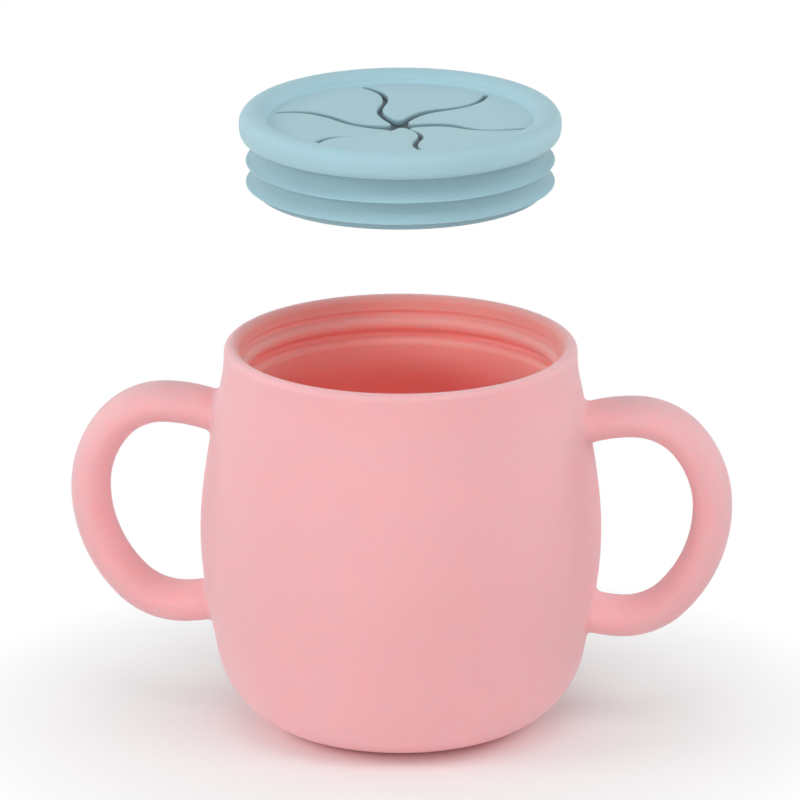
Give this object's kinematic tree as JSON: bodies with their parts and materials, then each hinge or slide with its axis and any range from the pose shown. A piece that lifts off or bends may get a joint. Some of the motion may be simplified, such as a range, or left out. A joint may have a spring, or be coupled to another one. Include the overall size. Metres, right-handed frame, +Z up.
{
  "type": "toddler training cup",
  "caption": "Soft belly-shaped toddler cup with side handles and a plug-in snack lid whose slit tongues bend to let a hand in.",
  "frame": {"origin": "middle of the cup's flat base, on the surface it stands on", "axes": "+Z up along the cup's axis, +X towards the handle on the picture's right, -Y towards the viewer"},
  "size_m": [0.1392, 0.084, 0.1336],
  "materials": {
    "cup_silicone": "soft matte moulded silicone, pale pink",
    "lid_silicone": "soft matte moulded silicone, pale teal"
  },
  "bodies": {
    "cup": {"cup": "cup_silicone"},
    "lid": {"lid_ring": "lid_silicone"},
    "tongue_1": {"lid_tongue_1": "lid_silicone"},
    "tongue_2": {"lid_tongue_2": "lid_silicone"},
    "tongue_3": {"lid_tongue_3": "lid_silicone"},
    "tongue_4": {"lid_tongue_4": "lid_silicone"},
    "tongue_5": {"lid_tongue_5": "lid_silicone"},
    "tongue_6": {"lid_tongue_6": "lid_silicone"}
  },
  "joints": [
    {"name": "lid_lift", "type": "slide", "parent": "cup", "child": "lid", "axis": [0, 0, 1], "range_m": [-0.0476, 0.02]},
    {"name": "tongue_1_bend", "type": "hinge", "parent": "lid", "child": "tongue_1", "pos_m": [0.02081, 0.00883, 0.1302], "axis": [-0.3907, 0.9205, 0], "range_deg": [-70, 60], "stiffness_Nm_per_rad": 0.006},
    {"name": "tongue_2_bend", "type": "hinge", "parent": "lid", "child": "tongue_2", "pos_m": [0.00276, 0.02244, 0.1302], "axis": [-0.9925, 0.1219, 0], "range_deg": [-70, 60], "stiffness_Nm_per_rad": 0.006},
    {"name": "tongue_3_bend", "type": "hinge", "parent": "lid", "child": "tongue_3", "pos_m": [-0.01805, 0.0136, 0.1302], "axis": [-0.6018, -0.7986, 0], "range_deg": [-70, 60], "stiffness_Nm_per_rad": 0.006},
    {"name": "tongue_4_bend", "type": "hinge", "parent": "lid", "child": "tongue_4", "pos_m": [-0.02081, -0.00883, 0.1302], "axis": [0.3907, -0.9205, 0], "range_deg": [-70, 60], "stiffness_Nm_per_rad": 0.006},
    {"name": "tongue_5_bend", "type": "hinge", "parent": "lid", "child": "tongue_5", "pos_m": [-0.00276, -0.02244, 0.1302], "axis": [0.9925, -0.1219, 0], "range_deg": [-70, 60], "stiffness_Nm_per_rad": 0.006},
    {"name": "tongue_6_bend", "type": "hinge", "parent": "lid", "child": "tongue_6", "pos_m": [0.01805, -0.0136, 0.1302], "axis": [0.6018, 0.7986, 0], "range_deg": [-70, 60], "stiffness_Nm_per_rad": 0.006}
  ]
}
